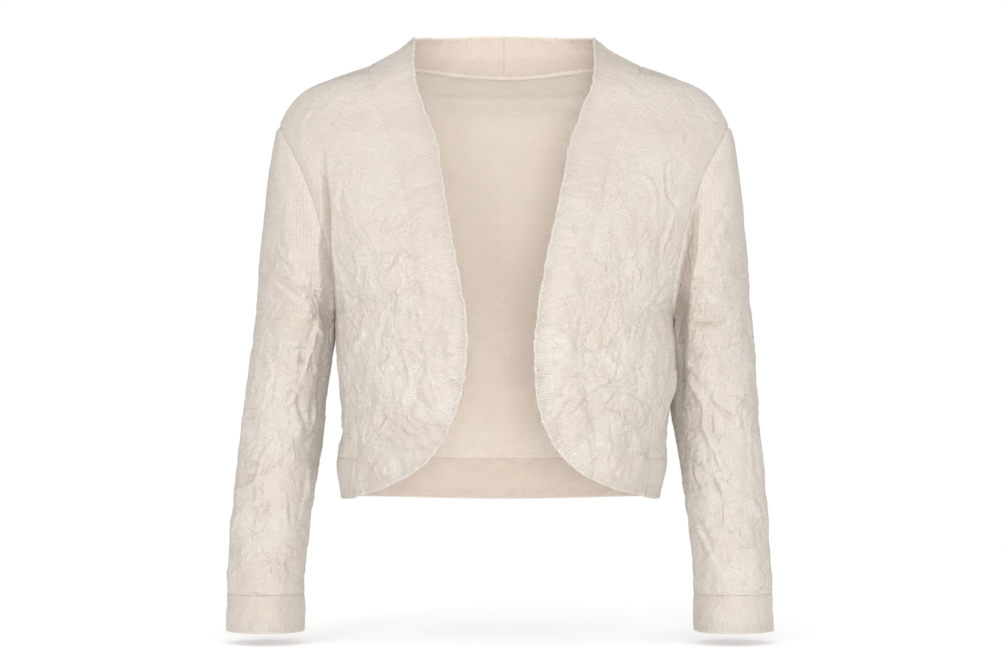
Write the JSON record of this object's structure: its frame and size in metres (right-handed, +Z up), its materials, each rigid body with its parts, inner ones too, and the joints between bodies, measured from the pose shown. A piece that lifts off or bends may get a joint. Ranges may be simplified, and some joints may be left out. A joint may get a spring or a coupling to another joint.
{
  "type": "cropped open-front cardigan with three-quarter sleeves",
  "caption": "Cropped open-front knit cardigan in its worn, hollow shape, with a rib band round the neck and curved fronts, a rib hem band and three-quarter sleeves with cuffs.",
  "frame": {"origin": "on the middle line where the wearer's shoulders carry it, 6 mm below the points where the neck band meets the top of the shoulders", "axes": "+Z up, +X to the wearer's left, -Y to the front"},
  "size_m": [0.5224, 0.228, 0.5702],
  "materials": {
    "cloth": "fine stocking-stitch knit with a faint silvery lustre, pale oatmeal",
    "rib": "fine doubled rib knit, pale oatmeal"
  },
  "bodies": {
    "root": {"back": "cloth", "hem_band_back": "rib", "front_left": "cloth", "front_right": "cloth", "front_band_left": "rib", "front_band_right": "rib", "sleeve_left": "cloth", "sleeve_right": "cloth", "cuff_left": "rib", "cuff_right": "rib"}
  },
  "joints": []
}
